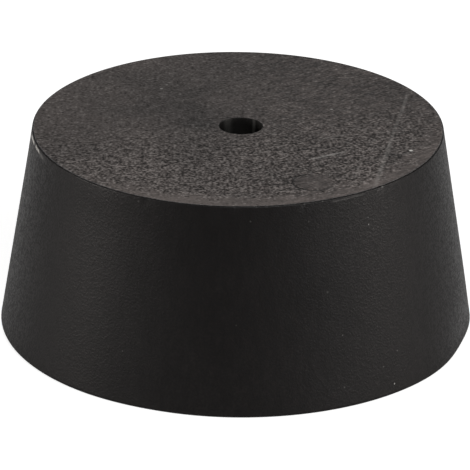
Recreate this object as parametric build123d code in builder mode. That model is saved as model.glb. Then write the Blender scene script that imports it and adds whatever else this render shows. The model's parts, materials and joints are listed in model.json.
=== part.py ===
from build123d import *
import os

# A laboratory rubber bung, moulded in one piece: a solid tapered plug that stands on its large end,
# with one straight bore right through. Z runs up the bore, and Z = 0 is the flat face of the large end.

# Driving dimensions, in millimetres and degrees

large_end_diameter = 56.0  # sharp corner to sharp corner, across the face that it stands on
small_end_diameter = 48.0  # the end that goes into the vessel's neck first
height = 24.5  # between the two flat faces

bore_diameter = 5.0  # takes a glass tube or a thermometer
bore_offset = 0.3  # how far the mould's core pin stands off the bung's own centre, along X
bore_edge_radius = 0.12  # the soft lip at each mouth of the bore

large_edge_radius = 0.35  # rim of the large end
small_edge_radius = 0.2  # rim of the small end, which is left crisp

ring_mark_diameter = 5.1  # outside of the faint ring that a mould pin leaves in the small face
ring_mark_width = 0.25
ring_mark_depth = 0.08
ring_mark_rim_gap = 2.7  # from the ring's outside to the small end's sharp corner
ring_mark_bearing = -62.5  # direction of the ring from the centre, counted from +X

os.makedirs("parts", exist_ok=True)


with BuildPart() as bung:
    # Tapered body: half of its section, turned about Z
    with BuildSketch(Plane.XZ):
        with BuildLine():
            Polyline(
                (0, 0),
                (large_end_diameter / 2, 0),
                (small_end_diameter / 2, height),
                (0, height),
                close=True,
            )
        make_face()
    revolve(axis=Axis.Z)

    # Rims, rounded by the mould
    large_rim = bung.edges().filter_by(GeomType.CIRCLE).sort_by(Axis.Z)[0]
    fillet(large_rim, radius=large_edge_radius)
    small_rim = bung.edges().filter_by(GeomType.CIRCLE).sort_by(Axis.Z)[-1]
    fillet(small_rim, radius=small_edge_radius)

    # Bore, straight through from face to face, and its two soft lips
    with Locations((bore_offset, 0, height)):
        Hole(radius=bore_diameter / 2)
    bore_wall = bung.faces().filter_by(GeomType.CYLINDER)[0]
    fillet(bore_wall.edges().filter_by(GeomType.CIRCLE), radius=bore_edge_radius)

    # Faint ring pressed into the small face
    with BuildSketch(Plane.XY.offset(height)):
        ring_centre_radius = small_end_diameter / 2 - ring_mark_rim_gap - ring_mark_diameter / 2
        with PolarLocations(ring_centre_radius, 1, start_angle=ring_mark_bearing):
            Circle(ring_mark_diameter / 2)
            Circle(ring_mark_diameter / 2 - ring_mark_width, mode=Mode.SUBTRACT)
    extrude(amount=-ring_mark_depth, mode=Mode.SUBTRACT)

bung.part.label = "bung"
export_step(bung.part, "parts/bung.step")
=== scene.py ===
"""The looks of a one-piece moulded rubber bung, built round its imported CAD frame.

The bung stands on its large end, with the bore upright. Lengths are metres, in the frame's own axes.
"""

from __future__ import annotations

import json
import logging
import math
from dataclasses import dataclass, field
from enum import IntEnum
from typing import Any

import bpy
import numpy as np
from mathutils import Matrix, Vector

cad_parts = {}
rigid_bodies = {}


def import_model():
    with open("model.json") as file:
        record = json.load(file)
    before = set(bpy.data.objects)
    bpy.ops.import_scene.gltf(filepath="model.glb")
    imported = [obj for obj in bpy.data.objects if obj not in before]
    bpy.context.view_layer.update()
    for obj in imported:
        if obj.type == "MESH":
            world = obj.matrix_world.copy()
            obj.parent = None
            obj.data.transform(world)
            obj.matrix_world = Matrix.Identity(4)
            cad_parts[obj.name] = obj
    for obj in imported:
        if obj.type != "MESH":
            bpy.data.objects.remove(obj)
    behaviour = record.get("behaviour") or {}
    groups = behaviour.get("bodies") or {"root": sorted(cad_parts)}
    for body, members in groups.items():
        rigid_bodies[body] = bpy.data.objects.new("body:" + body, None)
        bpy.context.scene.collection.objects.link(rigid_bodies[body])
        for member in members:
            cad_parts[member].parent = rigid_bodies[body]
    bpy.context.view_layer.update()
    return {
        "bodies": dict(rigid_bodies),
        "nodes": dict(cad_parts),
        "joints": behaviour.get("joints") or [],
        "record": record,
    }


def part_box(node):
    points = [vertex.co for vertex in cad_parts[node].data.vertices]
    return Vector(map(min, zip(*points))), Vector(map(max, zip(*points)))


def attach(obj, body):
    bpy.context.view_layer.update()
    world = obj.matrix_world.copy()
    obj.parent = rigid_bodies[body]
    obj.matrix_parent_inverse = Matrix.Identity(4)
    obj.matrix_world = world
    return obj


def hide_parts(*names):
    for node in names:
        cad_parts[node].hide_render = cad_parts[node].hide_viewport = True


log = logging.getLogger("rubber_bung")
MM = 0.001
CHALK = (0.7, 0.685, 0.65)
Place = tuple[float, float]
Point = tuple[float, float, float]


# ---------------------------------------------------------------- sizes


@dataclass(frozen=True)
class BungSizes:
    """The bung's own sizes, in metres, read from its CAD node. The edge radii are the mould's.

    Attributes:
        large_radius: radius of the large end, to its sharp corner.
        small_radius: radius of the small end, to its sharp corner.
        height: distance between the two ends.
        bore_radius: radius of the bore.
        bore_x: how far the bore stands to +X of the axis.
        large_edge: radius of the large rim's rounding.
        small_edge: radius of the small rim's rounding.
        lip: radius of the rounding at the bore's mouths.
    """

    large_radius: float
    small_radius: float
    height: float
    bore_radius: float
    bore_x: float
    large_edge: float = 0.35 * MM
    small_edge: float = 0.2 * MM
    lip: float = 0.12 * MM

    @classmethod
    def from_frame(cls, frame: dict[str, Any], node: str) -> BungSizes:
        """Reads the flats of both ends from the CAD node and works back to the sharp corners.

        A rim arc that touches the flat at radius f has its sharp corner at f + edge * (1 + sin a) / cos a on
        the large end and f + edge * (1 - sin a) / cos a on the small end, where a is the taper's half angle.

        Args:
            node: name of the CAD node.

        Returns:
            The sizes.
        """
        low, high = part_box(node)
        mesh = frame["nodes"][node].data
        points = np.empty(len(mesh.vertices) * 3, np.float32)
        mesh.vertices.foreach_get("co", points)
        points = points.reshape(-1, 3).astype(float)
        radius = np.hypot(points[:, 0], points[:, 1])
        near = 0.002 * MM
        large_flat = radius[points[:, 2] < low.z + near].max()
        small_flat = radius[points[:, 2] > high.z - near].max()
        height = high.z - low.z
        slope = math.atan2(large_flat - small_flat, height)
        bore = next(m for m in frame["record"]["mounts"] if m["name"] == "bore")
        return cls(
            large_radius=large_flat + cls.large_edge * (1 + math.sin(slope)) / math.cos(slope),
            small_radius=small_flat + cls.small_edge * (1 - math.sin(slope)) / math.cos(slope),
            height=height,
            bore_radius=bore["dims"]["r_mm"] * MM,
            bore_x=bore["pos_m"][0],
        )

    @property
    def taper(self) -> float:
        """Half angle of the taper.

        Returns:
            The angle in radians.
        """
        return math.atan2(self.large_radius - self.small_radius, self.height)


# ---------------------------------------------------------------- marks in the rubber


@dataclass(frozen=True)
class RingMark:
    """The shallow ring that a mould pin leaves in the small face. It is deepest towards one bearing.

    Attributes:
        centre: X and Y of its middle.
        radius: radius of its line.
        width: half width of its line.
        depth: how deep it is on its deepest side.
        deepest: direction of that side from the middle, in radians.
        faintest: share of the depth that is left on the far side.
    """

    centre: Place
    radius: float = 2.43 * MM
    width: float = 0.16 * MM
    depth: float = 0.08 * MM
    deepest: float = math.radians(215)
    faintest: float = 0.25

    def sink(self, x: np.ndarray, y: np.ndarray) -> np.ndarray:
        """How far the face sinks: a bell across the ring's line, which fades away from its deepest side.

        Args:
            x: positions along X.
            y: positions along Y.

        Returns:
            The depth at each position.
        """
        dx, dy = x - self.centre[0], y - self.centre[1]
        across = (np.hypot(dx, dy) - self.radius) / self.width
        turn = 0.5 + 0.5 * np.cos(np.arctan2(dy, dx) - self.deepest)
        return self.depth * np.exp(-(across**2)) * (self.faintest + (1 - self.faintest) * turn)


@dataclass(frozen=True)
class Dent:
    """A smooth hollow in the skin, or a swelling where its depth is negative.

    Attributes:
        bearing: direction from the axis, in degrees from +X.
        level: height of its middle.
        wide: half width round the bung.
        tall: half height.
        depth: how far its middle lies inside the true surface.
    """

    bearing: float
    level: float
    wide: float
    tall: float
    depth: float

    def sink(self, angle: np.ndarray, level: np.ndarray, radius: np.ndarray) -> np.ndarray:
        """A bell curve over the distance round the bung and the height.

        Args:
            angle: bearings of the points, in radians.
            level: their heights.
            radius: their distances from the axis.

        Returns:
            How far each point moves inwards.
        """
        turn = np.angle(np.exp(1j * (angle - math.radians(self.bearing))))
        round_it, up_it = turn * radius / self.wide, (level - self.level) / self.tall
        return self.depth * np.exp(-(round_it**2) - up_it**2)


# ---------------------------------------------------------------- the mesh


class Skin(IntEnum):
    """The stretches of the bung's skin, each with its own finish."""

    END_FACE = 0
    TAPER = 1
    BORE = 2


def line(start: Place, end: Place, stations: np.ndarray) -> np.ndarray:
    """Points at shares of the way along a straight line.

    Args:
        start: radius and height of the first end.
        end: radius and height of the other.
        stations: shares of the way, rising from 0.

    Returns:
        Rows of radius and height.
    """
    a, b = np.array(start), np.array(end)
    return a + stations[:, None] * (b - a)


def arc(centre: Place, radius: float, first: float, last: float, count: int) -> np.ndarray:
    """Points evenly spaced along an arc: centre + radius * (cos, sin) of the angle.

    Args:
        centre: radius and height of the arc's middle.
        radius: the arc's own radius.
        first: angle of its start, in radians.
        last: angle of its end.
        count: how many points, of which the last is the next stretch's first.

    Returns:
        Rows of radius and height.
    """
    turn = np.linspace(first, last, count + 1)[:-1, None]
    return np.array(centre) + radius * np.hstack([np.cos(turn), np.sin(turn)])


def graded(count: int, edge: float) -> np.ndarray:
    """Shares from 0 up to 1, without the 1, with one close station beside each end.

    Args:
        count: how many shares.
        edge: how far the close stations are from the ends.

    Returns:
        The shares.
    """
    inner = np.linspace(edge, 1 - edge, count - 1)
    return np.concatenate([[0.0], inner])


@dataclass
class Bung:
    """The moulded rubber bung: one closed skin, turned from its half section and then marked.

    Attributes:
        sizes: the bung's sizes.
        ring: the ring mark on the small face.
        rim_nicks: small hollows and swellings along the small rim.
        base_dents: slight flats along the large rim.
        seed: seed of the taper's waves.
        wave_height: size of those waves.
        finishes: the material of each stretch of skin.
    """

    sizes: BungSizes
    ring: RingMark
    rim_nicks: tuple[Dent, ...]
    base_dents: tuple[Dent, ...]
    seed: int = 11
    wave_height: float = 0.012 * MM
    finishes: dict[Skin, bpy.types.Material] = field(default_factory=dict)

    def section(self) -> tuple[np.ndarray, np.ndarray]:
        """The half section, as one loop from the large end's lip outwards, up the taper and down the bore.

        Each rim is an arc that touches the flat and the taper. Stations are closest where the ring mark is.

        Returns:
            Rows of radius and height, and the stretch of skin that starts at each.
        """
        s = self.sizes
        tilt, close = s.taper, 0.06 * MM
        foot = s.large_radius - s.large_edge * (1 + math.sin(tilt)) / math.cos(tilt)
        head = s.small_radius - s.small_edge * (1 - math.sin(tilt)) / math.cos(tilt)
        mouth, quarter = s.bore_radius + s.lip, math.pi / 2
        foot_end = (foot + s.large_edge * math.cos(tilt), s.large_edge * (1 + math.sin(tilt)))
        head_end = (head + s.small_edge * math.cos(tilt), s.height - s.small_edge * (1 - math.sin(tilt)))
        band_out, band_in = s.small_radius - 2.4 * MM, s.small_radius - 8.1 * MM
        top, down = s.height, np.linspace(0, 1, 13)[:-1]
        runs = [
            (Skin.END_FACE, line((mouth, 0), (foot, 0), graded(30, close / foot))),
            (Skin.TAPER, arc((foot, s.large_edge), s.large_edge, -quarter, tilt, 7)),
            (Skin.TAPER, line(foot_end, head_end, graded(38, close / top))),
            (Skin.TAPER, arc((head, top - s.small_edge), s.small_edge, tilt, quarter, 7)),
            (Skin.END_FACE, line((head, top), (band_out, top), graded(8, close / (2 * MM)))),
            (Skin.END_FACE, line((band_out, top), (band_in, top), np.linspace(0, 1, 47)[:-1])),
            (Skin.END_FACE, line((band_in, top), (mouth, top), graded(28, close / band_in))),
            (Skin.BORE, arc((mouth, top - s.lip), s.lip, quarter, 2 * quarter, 4)),
            (Skin.BORE, line((s.bore_radius, top - s.lip), (s.bore_radius, s.lip), down)),
            (Skin.BORE, arc((mouth, s.lip), s.lip, 2 * quarter, 3 * quarter, 4)),
        ]
        skins = np.concatenate([np.full(len(points), skin) for skin, points in runs])
        return np.vstack([points for _, points in runs]), skins

    def bearings(self) -> np.ndarray:
        """Bearings of the mesh's upright lines, closer at the front and closest across the ring mark.

        The spacing is a smooth density's running total, turned round.

        Returns:
            Angles in radians, rising through one turn.
        """
        fine = np.linspace(-math.pi, math.pi, 7201)
        ring = math.atan2(self.ring.centre[1], self.ring.centre[0])
        front = np.exp(-(((fine + math.pi / 2) / 0.95) ** 6))
        band = np.exp(-(((fine - ring) / 0.235) ** 6))
        density = 1.0 + 0.75 * front + 1.15 * band
        total = np.concatenate([[0], np.cumsum((density[1:] + density[:-1]) / 2)])
        return np.interp(np.linspace(0, total[-1], 485)[:-1], total, fine)

    def waves(self, angle: np.ndarray, level: np.ndarray) -> np.ndarray:
        """Faint unevenness of the moulded taper: a sum of slow cosines with seeded phases.

        Args:
            angle: bearings in radians.
            level: heights.

        Returns:
            How far each point moves inwards.
        """
        draw = np.random.default_rng(self.seed)
        rounds = np.arange(3, 15)
        phase = draw.uniform(0, 2 * math.pi, (len(rounds), 2))
        rise = draw.uniform(-1.2, 1.2, len(rounds))
        up = level[..., None] / self.sizes.height * 2 * math.pi
        swing = np.cos(rounds * angle[..., None] + phase[:, 0] + rise * np.cos(up / 2 + phase[:, 1]))
        return self.wave_height * (swing / np.sqrt(rounds)).sum(-1) / 2

    def surface(self) -> tuple[np.ndarray, np.ndarray, np.ndarray]:
        """Every point of the skin, as a grid of section station by bearing.

        A point is (r cos t + shift, r sin t, z), where the shift carries the bore's offset and dies away at
        the rims. The dents and waves then move the taper inwards, and the ring sinks the small face.

        Returns:
            The grid of points, the section and the bearings.
        """
        s = self.sizes
        profile, _ = self.section()
        t = self.bearings()[None, :]
        r, z = profile[:, :1], profile[:, 1:]
        share = np.clip((s.small_radius - r) / (s.small_radius - s.bore_radius), 0, 1)
        outer = np.clip((r - 0.8 * s.small_radius) / (0.2 * s.small_radius), 0, 1)
        inwards = outer * self.waves(t + 0 * r, z + 0 * t)
        for dent in self.rim_nicks + self.base_dents:
            inwards = inwards + outer * dent.sink(t, z, r)
        r = r - inwards
        x = r * np.cos(t) + s.bore_x * share
        y = r * np.sin(t)
        on_top = profile[:, 1:] > s.height - 1e-9
        z = z - np.where(on_top, self.ring.sink(x, y), 0.0)
        return np.stack([x, y, z + 0 * t], -1), profile, t[0]

    def chart(self, points: np.ndarray, profile: np.ndarray, bearings: np.ndarray) -> np.ndarray:
        """A flat layout of the skin at one scale: two discs, the taper in two strips, and the bore.

        The discs keep x and y. A strip's width is the arc at the middle radius, and its height the distance
        along the section.

        Args:
            points: the grid of points.
            profile: the half section.
            bearings: the bearings.

        Returns:
            For each face, the four corners' places in the unit square.
        """
        s = self.sizes
        sheet, gap = 110.5 * MM, 0.6 * MM
        rows, columns = points.shape[:2]
        row = np.arange(rows)[:, None, None] + np.array([0, 0, 1, 1])
        column = np.arange(columns)[None, :, None] + np.array([0, 1, 1, 0])
        angle = np.append(bearings, bearings[0] + 2 * math.pi)[column] + 0.0 * row
        run = np.linalg.norm(np.diff(np.vstack([profile, profile[:1]]), axis=0), axis=1)
        along = np.append(0, np.cumsum(run))[row] + 0.0 * column
        flat = points[row % rows, column % columns]
        skins = self.face_skins()[:, None, None] + 0 * row + 0 * column
        top_side = (profile[:, 1] > s.height / 2)[:, None, None] | (row + column < 0)
        mean = (s.large_radius + s.small_radius) / 2
        on_taper = np.flatnonzero(self.face_skins() == Skin.TAPER)
        on_bore = np.flatnonzero(self.face_skins() == Skin.BORE)
        starts = np.append(0, np.cumsum(run))
        tall = starts[on_taper[-1] + 1] - starts[on_taper[0]]
        second = angle.mean(-1, keepdims=True) > 0
        large = flat[..., :2] * np.array([1, -1]) + s.large_radius + gap
        beside = np.array([2 * s.large_radius + s.small_radius + 3 * gap, s.small_radius + gap])
        small = flat[..., :2] + beside
        strip_u = gap + mean * (angle + np.where(second, 0, math.pi))
        strip_low = 2 * s.large_radius + 2 * gap + np.where(second, tall + gap, 0)
        strip_v = strip_low + along - starts[on_taper[0]]
        bore_u = math.pi * mean + 3 * gap + s.bore_radius * (angle + math.pi)
        bore_v = 2 * s.large_radius + 2 * gap + along - starts[on_bore[0]]
        is_face = (skins == Skin.END_FACE)[..., None]
        place = np.where(
            is_face,
            np.where(top_side[..., None], small, large),
            np.where(
                (skins == Skin.TAPER)[..., None],
                np.stack([strip_u, strip_v], -1),
                np.stack([bore_u, bore_v], -1),
            ),
        )
        return place / sheet

    def face_skins(self) -> np.ndarray:
        """The stretch of skin of each row of faces. A row runs from one station to the next."""
        return self.section()[1]

    def build(self) -> bpy.types.Object:
        """Puts the grid into one closed mesh, with its finishes and its flat layout.

        Returns:
            The bung, at the origin, with its place in its mesh.
        """
        points, profile, bearings = self.surface()
        rows, columns = points.shape[:2]
        number = np.arange(rows * columns).reshape(rows, columns)
        beside, above = np.roll(number, -1, 1), np.roll(number, -1, 0)
        faces = np.stack([number, beside, np.roll(beside, -1, 0), above], -1).reshape(-1, 4)
        mesh = bpy.data.meshes.new("bung_moulding")
        mesh.from_pydata(points.reshape(-1, 3), [], faces)
        mesh.polygons.foreach_set("use_smooth", np.ones(len(faces), bool))
        for skin in Skin:
            mesh.materials.append(self.finishes[skin])
        mesh.polygons.foreach_set("material_index", np.repeat(self.face_skins(), columns).astype(np.int32))
        layout = mesh.uv_layers.new(name="OFBake")
        layout.data.foreach_set("uv", self.chart(points, profile, bearings).astype(np.float32).ravel())
        mesh.validate()
        piece = bpy.data.objects.new("bung_moulding", mesh)
        bpy.context.scene.collection.objects.link(piece)
        return piece


# ---------------------------------------------------------------- node helpers


class Graph:
    """A node tree with short ways to add and join nodes."""

    def __init__(self, tree: bpy.types.NodeTree) -> None:
        """Keeps the tree.

        Args:
            tree: the node tree to add to.
        """
        self.tree = tree

    def node(self, kind: str, inputs: dict[str | int, Any] | None = None, **settings: Any) -> bpy.types.Node:
        """Adds a node, sets its properties, and sets or links its inputs.

        Args:
            kind: the node's class name without the ShaderNode prefix.
            inputs: for each input, by name or number, a value or a socket to link.
            settings: properties of the node.

        Returns:
            The node.
        """
        made = self.tree.nodes.new("ShaderNode" + kind)
        for name, value in settings.items():
            setattr(made, name, value)
        for key, value in (inputs or {}).items():
            self.feed(made.inputs[key], value)
        return made

    def feed(self, socket: bpy.types.NodeSocket, value: Any) -> None:
        """Sets an input, or links a socket to it.

        Args:
            socket: the input.
            value: a value for it, or the socket to link.
        """
        if isinstance(value, bpy.types.NodeSocket):
            self.tree.links.new(value, socket)
        else:
            socket.default_value = value

    def math(self, operation: str, *values: Any, clamp: bool = False) -> bpy.types.NodeSocket:
        """One step of arithmetic.

        Args:
            operation: the Math node's operation.
            values: its inputs, as numbers or sockets.
            clamp: whether the result stays between 0 and 1.

        Returns:
            The result's socket.
        """
        inputs = dict(enumerate(values))
        return self.node("Math", inputs, operation=operation, use_clamp=clamp).outputs[0]

    def vector(self, operation: str, *values: Any, out: str = "Vector") -> bpy.types.NodeSocket:
        """One step of vector arithmetic.

        Args:
            operation: the Vector Math node's operation.
            values: its inputs, as triples or sockets.
            out: name of the output wanted.

        Returns:
            The result's socket.
        """
        inputs = dict(enumerate(values))
        return self.node("VectorMath", inputs, operation=operation).outputs[out]

    def ramp(
        self, value: Any, low: Any, high: Any, to: tuple[Any, Any] = (0.0, 1.0)
    ) -> bpy.types.NodeSocket:
        """A smooth step from one level to another.

        Args:
            value: the socket that is read.
            low: where the step starts.
            high: where it ends.
            to: the results below and above.

        Returns:
            The result's socket.
        """
        inputs = {"Value": value, "From Min": low, "From Max": high, "To Min": to[0], "To Max": to[1]}
        made = self.node("MapRange", inputs, interpolation_type="SMOOTHSTEP", clamp=True)
        return made.outputs["Result"]

    def noise(
        self, place: Any, per_metre: Any, detail: float = 2.0, rough: float = 0.5
    ) -> bpy.types.NodeSocket:
        """Soft noise around a half.

        Args:
            place: the coordinates.
            per_metre: how many blotches fit in a metre.
            detail: how many finer layers are added.
            rough: how strong they are.

        Returns:
            The noise's value.
        """
        inputs = {"Vector": place, "Scale": per_metre, "Detail": detail, "Roughness": rough}
        return self.node("TexNoise", inputs).outputs["Fac"]

    def blend(self, share: Any, first: Any, second: Any) -> bpy.types.NodeSocket:
        """A colour between two.

        Args:
            share: how much of the second, from 0 to 1.
            first: a colour or a socket.
            second: a colour or a socket.

        Returns:
            The colour's socket.
        """
        made = self.tree.nodes.new("ShaderNodeMix")
        made.data_type = "RGBA"
        self.feed(made.inputs[0], share)
        for number, value in ((6, first), (7, second)):
            self.feed(made.inputs[number], (*value, 1.0)[:4] if isinstance(value, tuple) else value)
        return made.outputs[2]

    def place_group(self, group: bpy.types.NodeTree, inputs: dict[str, Any]) -> bpy.types.Node:
        """Places a node group.

        Args:
            group: the group.
            inputs: a value or a socket for each input.

        Returns:
            The group's node.
        """
        made = self.tree.nodes.new("ShaderNodeGroup")
        made.node_tree = group
        for key, value in inputs.items():
            self.feed(made.inputs[key], value)
        return made


def new_group(
    name: str, inputs: dict[str, float | tuple[float, float, float]], outputs: tuple[str, ...]
) -> tuple[Graph, bpy.types.Node, bpy.types.Node]:
    """Starts a node group whose inputs are numbers or vectors and whose outputs are numbers.

    Args:
        name: the group's name.
        inputs: each input's name and default value.
        outputs: the outputs' names.

    Returns:
        The group as a graph, its input node and its output node.
    """
    tree = bpy.data.node_groups.new(name, "ShaderNodeTree")
    for key, value in inputs.items():
        kind = "NodeSocketVector" if isinstance(value, tuple) else "NodeSocketFloat"
        tree.interface.new_socket(key, in_out="INPUT", socket_type=kind).default_value = value
    for key in outputs:
        tree.interface.new_socket(key, in_out="OUTPUT", socket_type="NodeSocketFloat")
    return Graph(tree), tree.nodes.new("NodeGroupInput"), tree.nodes.new("NodeGroupOutput")


# ---------------------------------------------------------------- shared effects


class Effects:
    """The shader node groups that the finishes share, each built once."""

    def __init__(self) -> None:
        """Builds every group."""
        self.grain = self._grain()
        self.scuffs = self._scuffs()
        self.painted_shading_patch = self._painted_shading_patch()
        self.patches = self._patches()
        self.lint = self._lint()
        self.scratch = self._scratch()
        self.speck = self._speck()

    @staticmethod
    def _grain() -> bpy.types.NodeTree:
        """The fine pitted mottle of moulded rubber, from clumps, grains and dots.

        Returns:
            The group's tree. Its height and its tone both lie around a half.
        """
        g, given, out = new_group(
            "rubber_grain",
            {"Vector": (0.0, 0.0, 0.0), "Size": 0.3 * MM, "Clumps": 0.3, "Contrast": 1.0},
            ("Height", "Tone"),
        )
        place, per = given.outputs["Vector"], g.math("DIVIDE", 1.0, given.outputs["Size"])
        grains = g.noise(place, per, 0.0)
        dots = g.noise(place, g.math("MULTIPLY", per, 2.1), 1.0, 0.6)
        clumps = g.noise(place, g.math("MULTIPLY", per, 0.36), 1.0, 0.6)
        fine = g.math("ADD", g.math("MULTIPLY", grains, 0.58), g.math("MULTIPLY", dots, 0.42))
        lean = g.math("MULTIPLY", g.math("SUBTRACT", clumps, 0.5), given.outputs["Clumps"])
        height = g.math("ADD", fine, lean)
        g.tree.links.new(height, out.inputs["Height"])
        gain = g.math("MULTIPLY", given.outputs["Contrast"], 3.2)
        swing = g.math("MULTIPLY", g.math("SUBTRACT", height, 0.5), gain)
        g.tree.links.new(g.math("ADD", swing, 0.5, clamp=True), out.inputs["Tone"])
        return g.tree

    @staticmethod
    def _scuffs() -> bpy.types.NodeTree:
        """Short strokes all leaning one way: noise squeezed across a direction, from 0 to 1.

        Returns:
            The group's tree.
        """
        g, given, out = new_group(
            "leaning_scuffs",
            {"Vector": (0.0, 0.0, 0.0), "Size": 0.3 * MM, "Stretch": (4.0, 1.0, 1.0), "Lean": 0.6},
            ("Mask",),
        )
        inputs = {"Vector": given.outputs["Vector"], "Angle": given.outputs["Lean"]}
        turned = g.node("VectorRotate", inputs, rotation_type="Z_AXIS", invert=True).outputs[0]
        squeezed = g.vector("DIVIDE", turned, given.outputs["Stretch"])
        strokes = g.noise(squeezed, g.math("DIVIDE", 1.0, given.outputs["Size"]), 1.0, 0.5)
        g.tree.links.new(g.ramp(strokes, 0.38, 0.66), out.inputs["Mask"])
        return g.tree

    @staticmethod
    def _painted_shading_patch() -> bpy.types.NodeTree:
        """A soft round patch for painted light and shade, from 1 at its place down to 0 at its size.

        Returns:
            The group's tree.
        """
        g, given, out = new_group(
            "soft_painted_shading", {"Vector": (0.0, 0.0, 0.0), "Place": (0.0, 0.0, 0.0), "Size": 5 * MM}, ("Mask",)
        )
        gap = g.vector("DISTANCE", given.outputs["Vector"], given.outputs["Place"], out="Value")
        g.tree.links.new(g.ramp(gap, 0.0, given.outputs["Size"], (1.0, 0.0)), out.inputs["Mask"])
        return g.tree

    @staticmethod
    def _patches() -> bpy.types.NodeTree:
        """Slow uneven patches, from 0 to 1, as bloom and handling leave them.

        Returns:
            The group's tree.
        """
        g, given, out = new_group("uneven_patches", {"Vector": (0.0, 0.0, 0.0), "Size": 9 * MM}, ("Patch",))
        per = g.math("DIVIDE", 1.0, given.outputs["Size"])
        slow = g.noise(given.outputs["Vector"], per, 3.0, 0.55)
        g.tree.links.new(g.ramp(slow, 0.32, 0.68), out.inputs["Patch"])
        return g.tree

    @staticmethod
    def _lint() -> bpy.types.NodeTree:
        """Sparse dust specks: cells whose own random number passes a level show a dot at their middle.

        Returns:
            The group's tree.
        """
        g, given, out = new_group(
            "dust_lint",
            {"Vector": (0.0, 0.0, 0.0), "Spacing": 2 * MM, "Share": 0.2, "Size": 0.05 * MM},
            ("Mask",),
        )
        per = g.math("DIVIDE", 1.0, given.outputs["Spacing"])
        cells = g.node("TexVoronoi", {"Vector": given.outputs["Vector"], "Scale": per})
        drawn = g.node("SeparateColor", {"Color": cells.outputs["Color"]})
        chosen = g.math("LESS_THAN", drawn.outputs["Red"], given.outputs["Share"])
        share = g.math("MULTIPLY", given.outputs["Size"], per)
        reach = g.math("MULTIPLY", share, g.math("ADD", drawn.outputs["Green"], 0.5))
        dot = g.ramp(cells.outputs["Distance"], g.math("MULTIPLY", reach, 0.4), reach, (1.0, 0.0))
        level = g.math("ADD", drawn.outputs["Blue"], 0.2)
        strength = g.math("MULTIPLY", g.math("MULTIPLY", chosen, dot), level)
        g.tree.links.new(g.math("MINIMUM", strength, 1.0), out.inputs["Mask"])
        return g.tree

    @staticmethod
    def _scratch() -> bpy.types.NodeTree:
        """A straight light scratch: it falls off from a line between two points and breaks up along it.

        Returns:
            The group's tree.
        """
        g, given, out = new_group(
            "light_scratch",
            {"Vector": (0.0, 0.0, 0.0), "Start": (0.0, 0.0, 0.0), "End": (0.0, 0.0, 0.0), "Width": 0.1 * MM},
            ("Mask",),
        )
        place, start = given.outputs["Vector"], given.outputs["Start"]
        along = g.vector("SUBTRACT", given.outputs["End"], start)
        away = g.vector("SUBTRACT", place, start)
        length = g.vector("DOT_PRODUCT", along, along, out="Value")
        share = g.math("DIVIDE", g.vector("DOT_PRODUCT", away, along, out="Value"), length, clamp=True)
        nearest = g.node("VectorMath", {0: along, "Scale": share}, operation="SCALE").outputs["Vector"]
        gap = g.vector("LENGTH", g.vector("SUBTRACT", away, nearest), out="Value")
        core = g.math("MULTIPLY", given.outputs["Width"], 0.2)
        edge = g.ramp(gap, core, given.outputs["Width"], (1.0, 0.0))
        broken = g.ramp(g.noise(place, 1500.0, 2.0, 0.6), 0.2, 0.52, (0.35, 1.0))
        ends = g.math("MULTIPLY", g.ramp(share, 0.0, 0.12), g.ramp(share, 0.8, 1.0, (1.0, 0.0)))
        tapered = g.math("MULTIPLY", edge, g.math("ADD", g.math("MULTIPLY", ends, 0.7), 0.3))
        g.tree.links.new(g.math("MULTIPLY", tapered, broken), out.inputs["Mask"])
        return g.tree

    @staticmethod
    def _speck() -> bpy.types.NodeTree:
        """One light speck: a soft dot round a place.

        Returns:
            The group's tree.
        """
        g, given, out = new_group(
            "light_speck", {"Vector": (0.0, 0.0, 0.0), "Place": (0.0, 0.0, 0.0), "Size": 0.1 * MM}, ("Mask",)
        )
        gap = g.vector("DISTANCE", given.outputs["Vector"], given.outputs["Place"], out="Value")
        edge = g.ramp(gap, g.math("MULTIPLY", given.outputs["Size"], 0.4), given.outputs["Size"], (1.0, 0.0))
        g.tree.links.new(edge, out.inputs["Mask"])
        return g.tree


# ---------------------------------------------------------------- finishes


@dataclass(frozen=True)
class Scratch:
    """A straight light scratch, in millimetres.

    Attributes:
        start: one end.
        end: the other end.
        width: half width.
        strength: how much of the mark's colour shows, from 0 to 1.
    """

    start: Point
    end: Point
    width: float
    strength: float


@dataclass(frozen=True)
class Speck:
    """A light speck of dust or chalk, in millimetres.

    Attributes:
        place: its middle.
        size: its radius.
        strength: how much of the mark's colour shows, from 0 to 1.
    """

    place: Point
    size: float
    strength: float


@dataclass(frozen=True)
class PaintedShading:
    """A soft patch of painted light, or of painted shade where its strength is negative, in millimetres.

    Attributes:
        place: its middle.
        size: its radius.
        strength: how much paler it is, as a share, or darker where this is negative.
    """

    place: Point
    size: float
    strength: float


@dataclass(frozen=True)
class Scuffing:
    """Strokes that lean one way and fade in across the face.

    Attributes:
        size: how far apart the strokes are, in millimetres.
        stretch: how much longer they are than wide.
        lean: their direction, in radians.
        strength: how much paler they are, as a share.
        fade: from which X to which X they fade in, in millimetres.
    """

    size: float
    stretch: Point
    lean: float
    strength: float
    fade: Place = (-60.0, -50.0)


@dataclass(frozen=True)
class Evenness:
    """Where the grain is weaker: towards the back, and in a smooth band along part of the rim, which is
    painted paler for the light that falls there.

    Attributes:
        fade: where the grain starts and stops fading towards the back, in millimetres.
        turned: how far that direction leans across the face.
        at_back: what is left of the contrast at the back.
        band: inner and outer radius of the edge of the smooth band.
        bearing: where the band is widest, in degrees.
        band_contrast: what is left of the contrast in the band.
        band_painted_light: how much paler the band is painted, for the light along that part of the rim.
        calm: what is left of the contrast inside the ring mark.
    """

    fade: Place = (-12.0, 6.0)
    turned: float = 0.25
    at_back: float = 0.45
    band: Place = (20.4, 22.9)
    bearing: float = -66.0
    band_contrast: float = 0.3
    band_painted_light: float = 0.58
    calm: float = 0.35


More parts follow.
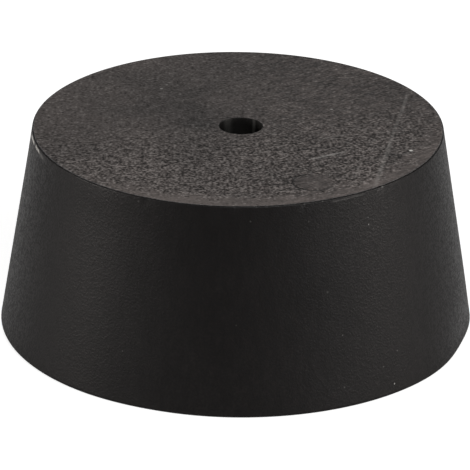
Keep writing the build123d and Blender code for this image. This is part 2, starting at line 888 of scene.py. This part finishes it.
@dataclass(frozen=True)
class RubberFinish:
    """Black rubber, with its grain, its uneven tone, its dust and its marks.

    Attributes:
        name: the material's name.
        colour: the middle tone.
        dark: colour of the pits.
        pale: colour of the dusty high spots.
        roughness: roughness of the darkest and the palest places.
        grain: size of the grain.
        grain_depth: how high the bump stands.
        clumps: how strongly the grain gathers into clumps.
        contrast: strength of the grain's tone.
        patch: size of the uneven patches.
        patch_strength: how much they change the tone.
        dust: share of cells that hold a dust speck.
        dust_level: how light the specks are.
        gloss: level of the specular reflection.
        sheen: strength of the dusty sheen.
        evenness: how the grain's contrast changes across the face.
        scuffing: leaning strokes, if it has any.
        scratches: its scratches.
        specks: its specks.
        painted_shading: its soft patches of painted light and shade.
        ring: the ring mark, if it has one.
        level: height of the face that the ring mark is in.
    """

    name: str
    colour: Point
    dark: Point
    pale: Point
    roughness: Place
    grain: float
    grain_depth: float
    clumps: float
    contrast: float
    patch: float
    patch_strength: float
    dust: float
    dust_level: float
    gloss: float
    sheen: float = 0.0
    evenness: Evenness | None = None
    scuffing: Scuffing | None = None
    scratches: tuple[Scratch, ...] = ()
    specks: tuple[Speck, ...] = ()
    painted_shading: tuple[PaintedShading, ...] = ()
    ring: RingMark | None = None
    level: float = 0.0

    def material(self, effects: Effects) -> bpy.types.Material:
        """Builds the material.

        Args:
            effects: the shared node groups.

        Returns:
            The material.
        """
        made = bpy.data.materials.new(self.name)
        made.use_nodes = True
        made.node_tree.nodes.clear()
        g = Graph(made.node_tree)
        place = g.node("TexCoord").outputs["Object"]
        band = self._band(g, place)
        contrast = self._contrast(g, place, band)
        grain = g.place_group(
            effects.grain, {"Vector": place, "Size": self.grain, "Clumps": self.clumps, "Contrast": contrast}
        )
        tone = grain.outputs["Tone"]
        low = g.blend(g.ramp(tone, 0.0, 0.5), self.dark, self.colour)
        colour = g.blend(g.ramp(tone, 0.5, 1.0), low, self.pale)
        factor = self._unevenness(g, place, band, effects)
        level = g.node("CombineXYZ", {0: factor, 1: factor, 2: factor}).outputs[0]
        colour = g.vector("MULTIPLY", colour, level)
        colour = g.blend(self._light_marks(g, place, effects), colour, CHALK)
        if self.ring:
            colour = self._ring_shadow(g, place, colour)
        rough = g.ramp(tone, 0.0, 1.0, self.roughness)
        depth = g.math("MULTIPLY", contrast, self.grain_depth / self.contrast)
        bump = g.node("Bump", {"Height": grain.outputs["Height"], "Distance": depth, "Strength": 1.0})
        skin = g.node(
            "BsdfPrincipled",
            {
                "Base Color": colour,
                "Roughness": rough,
                "Normal": bump.outputs["Normal"],
                "Specular IOR Level": self.gloss,
                "Sheen Weight": self.sheen,
                "Sheen Roughness": 0.45,
            },
        )
        g.node("OutputMaterial", {"Surface": skin.outputs["BSDF"]})
        return made

    def _band(self, g: Graph, place: Any) -> Any:
        """The smooth band along the rim, from 0 to 1, or 0 where the finish has none.

        Args:
            g: the material's graph.
            place: the coordinates.

        Returns:
            The mask.
        """
        if not self.evenness:
            return 0.0
        even, turn = self.evenness, math.radians(self.evenness.bearing)
        flat = g.vector("MULTIPLY", place, (1.0, 1.0, 0.0))
        ragged = g.math("MULTIPLY", g.math("SUBTRACT", g.noise(place, 700.0, 3.0, 0.6), 0.5), 7 * MM)
        away = g.math("ADD", g.vector("LENGTH", flat, out="Value"), ragged)
        outer = g.ramp(away, even.band[0] * MM, even.band[1] * MM)
        toward = g.vector("DOT_PRODUCT", flat, (math.cos(turn), math.sin(turn), 0.0), out="Value")
        return g.math("MULTIPLY", outer, g.ramp(toward, 2 * MM, 18 * MM))

    def _contrast(self, g: Graph, place: Any, band: Any) -> Any:
        """Strength of the grain's tone: weaker at the back, in the smooth band and inside the ring mark.

        Args:
            g: the material's graph.
            place: the coordinates.
            band: mask of the smooth band.

        Returns:
            The contrast.
        """
        if not self.evenness:
            return g.math("MULTIPLY", self.contrast, 1.0)
        even = self.evenness
        slope = g.vector("DOT_PRODUCT", place, (-even.turned, 1.0, 0.0), out="Value")
        fade = g.ramp(slope, even.fade[0] * MM, even.fade[1] * MM, (1.0, even.at_back))
        kept = g.math("SUBTRACT", 1.0, g.math("MULTIPLY", band, 1.0 - even.band_contrast))
        if self.ring:
            gap = g.vector("DISTANCE", place, (*self.ring.centre, self.level), out="Value")
            inside = g.ramp(gap, 0.8 * self.ring.radius, self.ring.radius, (even.calm, 1.0))
            kept = g.math("MULTIPLY", kept, inside)
        return g.math("MULTIPLY", g.math("MULTIPLY", fade, kept), self.contrast)

    def _unevenness(self, g: Graph, place: Any, band: Any, effects: Effects) -> bpy.types.NodeSocket:
        """A factor round 1 for the colour: slow patches, painted light and shade, strokes and the band's
        painted light.

        Args:
            g: the material's graph.
            place: the coordinates.
            band: mask of the smooth band.
            effects: the shared node groups.

        Returns:
            The factor.
        """
        patch = g.place_group(effects.patches, {"Vector": place, "Size": self.patch}).outputs["Patch"]
        factor = g.math("ADD", 1.0, g.math("MULTIPLY", g.math("SUBTRACT", patch, 0.5), self.patch_strength))
        wander = {"Vector": place, "Scale": 210.0, "Detail": 3.0, "Roughness": 0.6}
        stray = g.node("TexNoise", wander).outputs["Color"]
        moved = g.vector("MULTIPLY", g.vector("SUBTRACT", stray, (0.5, 0.5, 0.5)), (11 * MM, 11 * MM, 0.0))
        strayed = g.vector("ADD", place, moved)
        # painted light and shade: soft patches make the face paler or darker as light falls across it
        for mark in self.painted_shading:
            where = tuple(v * MM for v in mark.place)
            inputs = {"Vector": strayed, "Place": where, "Size": mark.size * MM}
            mask = g.place_group(effects.painted_shading_patch, inputs).outputs[0]
            factor = g.math("ADD", factor, g.math("MULTIPLY", mask, mark.strength))
        if self.scuffing:
            strokes = self.scuffing
            inputs = {"Vector": place, "Size": strokes.size * MM}
            inputs.update({"Stretch": strokes.stretch, "Lean": strokes.lean})
            mask = g.place_group(effects.scuffs, inputs).outputs[0]
            across = g.node("SeparateXYZ", {0: place}).outputs["X"]
            side = g.ramp(across, strokes.fade[0] * MM, strokes.fade[1] * MM, (0.0, strokes.strength))
            factor = g.math("ADD", factor, g.math("MULTIPLY", g.math("SUBTRACT", mask, 0.5), side))
        # painted light: the band along the front of the rim is made paler
        band_light = self.evenness.band_painted_light if self.evenness else 0.0
        return g.math("ADD", factor, g.math("MULTIPLY", band, band_light))

    def _light_marks(self, g: Graph, place: Any, effects: Effects) -> bpy.types.NodeSocket:
        """The dust, the scratches and the specks together: the strongest of them at each point.

        Args:
            g: the material's graph.
            place: the coordinates.
            effects: the shared node groups.

        Returns:
            The mask.
        """
        dust = {"Vector": place, "Spacing": 1.6 * MM, "Share": self.dust, "Size": 0.09 * MM}
        light = g.math("MULTIPLY", g.place_group(effects.lint, dust).outputs["Mask"], self.dust_level)
        for mark in self.scratches:
            ends = {"Start": tuple(v * MM for v in mark.start), "End": tuple(v * MM for v in mark.end)}
            inputs = {"Vector": place, "Width": mark.width * MM, **ends}
            mask = g.place_group(effects.scratch, inputs).outputs[0]
            light = g.math("MAXIMUM", light, g.math("MULTIPLY", mask, mark.strength))
        for mark in self.specks:
            where = tuple(v * MM for v in mark.place)
            inputs = {"Vector": place, "Place": where, "Size": mark.size * MM}
            mask = g.place_group(effects.speck, inputs).outputs[0]
            light = g.math("MAXIMUM", light, g.math("MULTIPLY", mask, mark.strength))
        return light

    def _ring_shadow(self, g: Graph, place: Any, colour: Any) -> bpy.types.NodeSocket:
        """Darkens the line of the ring mark, where dirt and shadow lie.

        Args:
            g: the material's graph.
            place: the coordinates.
            colour: the colour so far.

        Returns:
            The colour with the ring.
        """
        centre = (*self.ring.centre, self.level)
        away = g.vector("SUBTRACT", place, centre)
        gap = g.math("ABSOLUTE", g.math("SUBTRACT", g.vector("LENGTH", away, out="Value"), self.ring.radius))
        lean = (math.cos(self.ring.deepest), math.sin(self.ring.deepest), 0.0)
        side = g.vector("DOT_PRODUCT", g.vector("NORMALIZE", away), lean, out="Value")
        line_mask = g.ramp(gap, 0.04 * MM, 1.5 * self.ring.width, (1.0, 0.0))
        fade = g.ramp(side, -0.9, 0.5, (0.2, 0.9))
        return g.blend(g.math("MULTIPLY", line_mask, fade), colour, self.dark)


# ---------------------------------------------------------------- studio


@dataclass(frozen=True)
class Lamp:
    """A soft lamp that faces the bung.

    Attributes:
        name: the lamp's name.
        bearing: where it hangs, in degrees round from the camera's side towards +X.
        rise: how far above the bench it hangs, in degrees.
        power: its power in watts.
        size: its width and height.
        tint: its colour.
        reach: its distance from the bung.
    """

    name: str
    bearing: float
    rise: float
    power: float
    size: Place = (0.3, 0.28)
    tint: Point = (1.0, 1.0, 1.0)
    reach: float = 0.62


LOW_STRIP = (0.3, 0.16)
WARM = (1.0, 0.94, 0.9)
LAMPS = (
    Lamp("lamp_right", 78, 8, 1.6, LOW_STRIP, WARM),
    Lamp("lamp_left", -79, 8, 1.86, LOW_STRIP, WARM),
    Lamp("lamp_right_front", 50, 8, 0.56, LOW_STRIP),
    Lamp("lamp_left_front", -50, 8, 0.32, LOW_STRIP),
    Lamp("lamp_high_right", 25, 40, 1.9),
    Lamp("lamp_high_left", -25, 40, 0.3),
    Lamp("lamp_back", 180, 35, 1.15),
)


@dataclass
class Studio:
    """A pale floor, plain soft lamps and the camera.

    Attributes:
        middle: the bung's middle, which the lamps face.
        lamps: the lamps.
        room_level: strength of the dim even room.
        distance: from the bung's middle to the camera.
        elevation: how far above level the camera stands, in radians.
        roll: how far it is turned about its own line of sight, in radians.
        slide: how far it is moved sideways and up.
        lens: its focal length, in millimetres.
    """

    middle: Vector
    lamps: tuple[Lamp, ...] = LAMPS
    room_level: float = 0.02
    distance: float = 0.54012
    elevation: float = math.radians(23.503)
    roll: float = math.radians(0.651)
    slide: Place = (-0.244 * MM, -1.537 * MM)
    lens: float = 350.44

    def camera(self) -> None:
        """Sets the camera: it looks along +Y from above the front, slightly rolled."""
        back = Vector((0, -math.cos(self.elevation), math.sin(self.elevation)))
        right = Vector((1, 0, 0))
        up = back.cross(right)
        where = self.middle + self.slide[0] * right + self.slide[1] * up + self.distance * back
        turned_right = math.cos(self.roll) * right + math.sin(self.roll) * up
        turned_up = math.cos(self.roll) * up - math.sin(self.roll) * right
        data = bpy.data.cameras.new("camera")
        data.sensor_width = 36.0
        data.lens = self.lens
        data.clip_start, data.clip_end = 0.01, 20.0
        camera = bpy.data.objects.new("camera", data)
        axes = Matrix((turned_right, turned_up, back)).transposed().to_4x4()
        camera.matrix_world = Matrix.Translation(where) @ axes
        bpy.context.scene.collection.objects.link(camera)
        bpy.context.scene.camera = camera

    def floor(self) -> bpy.types.Object:
        """Makes the floor. Its colour for light is painted shade: dark in front of the bung and pale behind
        it; the camera sees it lifted to white.

        It lies a hair below the bung, and from underneath it is clear, so that the underside shows.

        Returns:
            The floor.
        """
        half, level = 1.5, -0.05 * MM
        mesh = bpy.data.meshes.new("floor")
        corners = [(-half, -half, level), (half, -half, level), (half, half, level), (-half, half, level)]
        mesh.from_pydata(corners, [], [(0, 1, 2, 3)])
        floor = bpy.data.objects.new("floor", mesh)
        bpy.context.scene.collection.objects.link(floor)
        made = bpy.data.materials.new("floor_card")
        made.use_nodes = True
        made.node_tree.nodes.clear()
        g = Graph(made.node_tree)
        where = g.node("SeparateXYZ", {0: g.node("TexCoord").outputs["Object"]})
        # painted shade: for the light it gives and what the bung reflects, the floor is dark in front of the
        # bung and pale behind
        depth = g.ramp(where.outputs["Y"], -0.16, 0.02, (0.12, 0.75))
        grey = g.node("CombineColor", {0: depth, 1: depth, 2: depth})
        shaded_card = g.node("BsdfDiffuse", {"Color": grey.outputs[0]})
        white = g.node("BsdfDiffuse", {"Color": (0.5, 0.5, 0.5, 1.0)})
        glow = g.node("Emission", {"Color": (1.0, 1.0, 1.0, 1.0), "Strength": 0.82})
        lifted = g.node("AddShader", {0: white.outputs[0], 1: glow.outputs[0]})
        seen = g.node("LightPath").outputs["Is Camera Ray"]
        both = g.node("MixShader", {0: seen, 1: shaded_card.outputs[0], 2: lifted.outputs[0]})
        clear = g.node("BsdfTransparent")
        under = g.node("NewGeometry").outputs["Backfacing"]
        surface = g.node("MixShader", {0: under, 1: both.outputs[0], 2: clear.outputs[0]})
        g.node("OutputMaterial", {"Surface": surface.outputs[0]})
        mesh.materials.append(made)
        return floor

    def hang(self, lamp: Lamp) -> None:
        """Hangs one soft lamp, which faces the bung's middle.

        Args:
            lamp: the lamp's place, size and power.
        """
        turn, rise = math.radians(lamp.bearing), math.radians(lamp.rise)
        way = Vector((math.sin(turn) * math.cos(rise), -math.cos(turn) * math.cos(rise), math.sin(rise)))
        data = bpy.data.lights.new(lamp.name, "AREA")
        data.shape = "RECTANGLE"
        data.size, data.size_y = lamp.size
        data.energy = lamp.power
        data.color = lamp.tint
        made = bpy.data.objects.new(lamp.name, data)
        made.location = self.middle + lamp.reach * way
        made.rotation_mode = "QUATERNION"
        made.rotation_quaternion = (-way).to_track_quat("-Z", "Y")
        bpy.context.scene.collection.objects.link(made)

    def surroundings(self) -> None:
        """Sets the world: a dim even room, which the camera sees as plain white."""
        world = bpy.data.worlds.new("studio")
        bpy.context.scene.world = world
        world.use_nodes = True
        world.node_tree.nodes.clear()
        g = Graph(world.node_tree)
        seen = g.node("LightPath").outputs["Is Camera Ray"]
        level = g.ramp(seen, 0.0, 1.0, (self.room_level, 1.0))
        white = g.node("Background", {"Color": (1.0, 1.0, 1.0, 1.0), "Strength": level})
        g.node("OutputWorld", {"Surface": white.outputs[0]})

    def build(self) -> None:
        """Builds the whole studio."""
        self.camera()
        self.floor()
        self.surroundings()
        for lamp in self.lamps:
            self.hang(lamp)
        view = bpy.context.scene.view_settings
        view.view_transform = "Standard"


# ---------------------------------------------------------------- this bung's marks and finishes


def finishes(sizes: BungSizes, ring: RingMark) -> dict[Skin, RubberFinish]:
    """The three finishes of this bung.

    Args:
        sizes: the bung's sizes.
        ring: the ring mark on the small face.

    Returns:
        The finish of each stretch of skin.
    """
    return {Skin.END_FACE: end_face(sizes, ring), Skin.TAPER: taper(sizes), Skin.BORE: bore(sizes)}


def around(radius: float, bearing: float) -> Place:
    """A point at a distance from the axis, in a direction.

    Args:
        radius: the distance.
        bearing: the direction, in degrees from +X.

    Returns:
        Its X and Y, in the distance's unit.
    """
    turn = math.radians(bearing)
    return radius * math.cos(turn), radius * math.sin(turn)


def on_taper(sizes: BungSizes, bearing: float, level: float) -> Point:
    """A point on the taper.

    Args:
        sizes: the bung's sizes.
        bearing: its direction from the axis, in degrees from +X.
        level: its height, in millimetres.

    Returns:
        The point, in millimetres.
    """
    share = level * MM / sizes.height
    radius = (1 - share) * sizes.large_radius + share * sizes.small_radius
    return (*around(radius / MM, bearing), level)


def end_face(sizes: BungSizes, ring: RingMark) -> RubberFinish:
    """The mottled finish of the two flat ends, painted several times paler than the taper for the light that
    falls on the small face from above, with the small face's own marks.

    Args:
        sizes: the bung's sizes.
        ring: the ring mark on the small face.

    Returns:
        The finish.
    """
    top = sizes.height / MM
    scratches = (
        Scratch((20.3, 11.5, top), (16.8, -9.5, top), 0.3, 0.075),
        Scratch((17.8, -4.0, top), (15.2, -20.0, top), 0.38, 0.1),
        Scratch((8.3, -10.0, top), (12.4, -7.5, top), 0.26, 0.24),
        Scratch((9.3, -4.0, top), (12.5, -2.3, top), 0.28, 0.08),
    )
    specks = tuple(
        Speck((x, y, top), size, strength)
        for x, y, size, strength in (
            (19.99, -6.97, 0.3, 1.0),
            (18.8, -1.5, 0.16, 0.3),
            (11.0, 5.5, 0.24, 0.3),
            (10.5, -14.5, 0.2, 0.25),
            (2.9, -16.8, 0.18, 0.25),
            (-9.2, 11.5, 0.26, 0.25),
            (-8.6, 12.8, 0.2, 0.18),
            (-14.8, -6.0, 0.18, 0.12),
            (-4.9, -0.7, 0.2, 0.15),
            (-8.5, -19.5, 0.18, 0.25),
        )
    )
    # painted light and shade: the small face is mostly paler towards the front and darker towards the back
    # and left, as light falls on it
    painted_shading = tuple(
        PaintedShading((x, y, top), size, strength)
        for x, y, size, strength in (
            (-5.0, 5.0, 12.0, -0.3),
            (-4.0, 0.5, 8.0, -0.28),
            (-8.0, 8.0, 8.0, -0.15),
            (-5.0, -6.0, 6.0, -0.14),
            (9.0, 18.0, 9.0, -0.2),
            (0.0, 26.0, 14.0, -0.25),
            (-4.0, 9.5, 6.0, -0.13),
            (16.0, -8.5, 6.0, 0.15),
            (1.0, -16.0, 12.0, 0.07),
            (19.0, 13.0, 8.0, -0.22),
            (20.5, -8.5, 5.0, -0.2),
            (-14.0, 11.0, 10.0, -0.15),
            (-12.0, -13.0, 12.0, 0.15),
            (-20.5, -11.0, 5.0, -0.2),
            (13.0, -2.0, 9.0, 0.24),
            (14.0, -16.0, 9.0, 0.34),
            (5.0, -13.0, 7.0, 0.16),
            (8.66, -16.6, 3.0, 0.12),
            (-7.0, -23.0, 8.0, 0.28),
            (3.0, -23.5, 7.0, 0.12),
        )
    )
    return RubberFinish(
        "rubber_end_face_painted_light",
        # painted light: these colours give the small face's lit look, several times paler than the taper's
        # rubber
        colour=(0.0612, 0.051, 0.047),
        dark=(0.0105, 0.0085, 0.0075),
        pale=(0.145, 0.127, 0.118),
        roughness=(0.75, 0.55),
        grain=0.34 * MM,
        grain_depth=0.07 * MM,
        clumps=0.45,
        contrast=1.0,
        patch=7 * MM,
        patch_strength=0.3,
        dust=0.08,
        dust_level=0.15,
        gloss=0.1,
        evenness=Evenness(),
        scuffing=Scuffing(0.3, (4.0, 1.0, 1.0), math.radians(36), 0.7, fade=(-6.0, 8.0)),
        scratches=scratches,
        specks=specks,
        painted_shading=painted_shading,
        ring=ring,
        level=sizes.height,
    )


def taper(sizes: BungSizes) -> RubberFinish:
    """The satin finish of the taper, painted several times darker than the ends for the shade on the sides,
    with faint upright streaks.

    Args:
        sizes: the bung's sizes.

    Returns:
        The finish.
    """
    specks = tuple(
        Speck(on_taper(sizes, bearing, level), size, strength)
        for bearing, level, size, strength in (
            (-117.5, 23.9, 0.2, 0.05),
            (-71.8, 24.4, 0.15, 0.14),
            (-66.5, 24.4, 0.12, 0.1),
            (-46.8, 24.4, 0.18, 0.12),
            (-52.8, 20.6, 0.11, 0.35),
            (-52.7, 21.4, 0.12, 0.08),
            (-51.3, 20.0, 0.12, 0.08),
            (-66.4, 13.9, 0.16, 0.06),
            (-62.9, 8.6, 0.12, 0.1),
            (-47.0, 5.0, 0.14, 0.08),
            (-51.8, 3.7, 0.12, 0.1),
            (-48.9, 1.3, 0.12, 0.4),
            (-63.2, 2.5, 0.13, 0.08),
            (-118.6, 6.3, 0.13, 0.06),
            (-86.5, 22.8, 0.12, 0.05),
        )
    )
    scratches = tuple(
        Scratch(on_taper(sizes, *start), on_taper(sizes, *end), width, strength)
        for start, end, width, strength in (
            ((-174.5, 24.0), (-167.8, 24.0), 0.28, 0.9),
            ((-166.0, 24.1), (-161.5, 24.0), 0.28, 0.75),
            ((-161.5, 23.95), (-157.5, 23.8), 0.3, 0.12),
            ((-64.0, 24.15), (-53.0, 24.2), 0.15, 0.05),
        )
    )
    return RubberFinish(
        "rubber_taper_painted_shade",
        # painted shade: these colours give the sides' shaded look, several times darker than the ends'
        # rubber
        colour=(0.008, 0.0072, 0.0071),
        dark=(0.0055, 0.0049, 0.0048),
        pale=(0.0118, 0.0105, 0.0102),
        roughness=(0.52, 0.3),
        grain=0.24 * MM,
        grain_depth=0.032 * MM,
        clumps=0.4,
        contrast=1.0,
        patch=10 * MM,
        patch_strength=0.2,
        dust=0.16,
        dust_level=0.06,
        gloss=0.17,
        sheen=0.02,
        scuffing=Scuffing(0.7, (1.0, 1.0, 5.0), 0.0, 0.15),
        scratches=scratches,
        specks=specks,
    )


def bore(sizes: BungSizes) -> RubberFinish:
    """The dark smooth wall of the bore, with three faint upright light streaks near its upper mouth.

    Args:
        sizes: the bung's sizes.

    Returns:
        The finish.
    """
    top, radius, shift = sizes.height / MM, sizes.bore_radius / MM, sizes.bore_x / MM
    # three faint upright light streaks down the wall from its upper mouth
    light_streaks = []
    for bearing, width, strength in ((129.0, 0.85, 0.025), (52.0, 0.32, 0.045), (20.0, 1.0, 0.015)):
        x, y = around(radius, bearing)
        light_streaks.append(Scratch((x + shift, y, top + 2.0), (x + shift, y, top - 12.0), width, strength))
    return RubberFinish(
        "rubber_bore",
        colour=(0.0066, 0.0062, 0.0058),
        dark=(0.0045, 0.0043, 0.004),
        pale=(0.0095, 0.009, 0.0085),
        roughness=(0.55, 0.5),
        grain=0.25 * MM,
        grain_depth=0.008 * MM,
        clumps=0.2,
        contrast=0.5,
        patch=4 * MM,
        patch_strength=0.3,
        dust=0.0,
        dust_level=0.0,
        gloss=0.08,
        scratches=tuple(light_streaks),
    )


def main() -> None:
    """Builds the bung and its studio, and reports the piece."""
    logging.basicConfig(level=logging.INFO, format="%(name)s: %(message)s")
    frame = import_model()
    sizes = BungSizes.from_frame(frame, "bung")
    ring = RingMark(centre=(8.66 * MM, -16.63 * MM))
    effects = Effects()
    bung = Bung(
        sizes,
        ring,
        rim_nicks=(
            Dent(-115.3, sizes.height - 0.35 * MM, 0.35 * MM, 0.3 * MM, 0.12 * MM),
            Dent(-90.2, sizes.height, 0.3 * MM, 0.2 * MM, 0.08 * MM),
            Dent(-71.9, sizes.height, 0.3 * MM, 0.25 * MM, 0.1 * MM),
            Dent(-47.7, sizes.height, 0.4 * MM, 0.25 * MM, 0.05 * MM),
            Dent(-137, sizes.height, 20 * MM, 3 * MM, -0.11 * MM),
            Dent(-66, sizes.height, 10 * MM, 6 * MM, 0.06 * MM),
        ),
        base_dents=(
            Dent(-15, 0.0, 6 * MM, 4 * MM, 0.42 * MM),
            Dent(-112, 0.0, 7 * MM, 4 * MM, 0.1 * MM),
        ),
    )
    bung.finishes = {skin: finish.material(effects) for skin, finish in finishes(sizes, ring).items()}
    piece = bung.build()
    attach(piece, "root")
    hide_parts("bung")
    log.info("%s: %d faces, one closed skin", piece.name, len(piece.data.polygons))
    Studio(middle=Vector((0, 0, sizes.height / 2))).build()


if __name__ == "__main__":
    main()
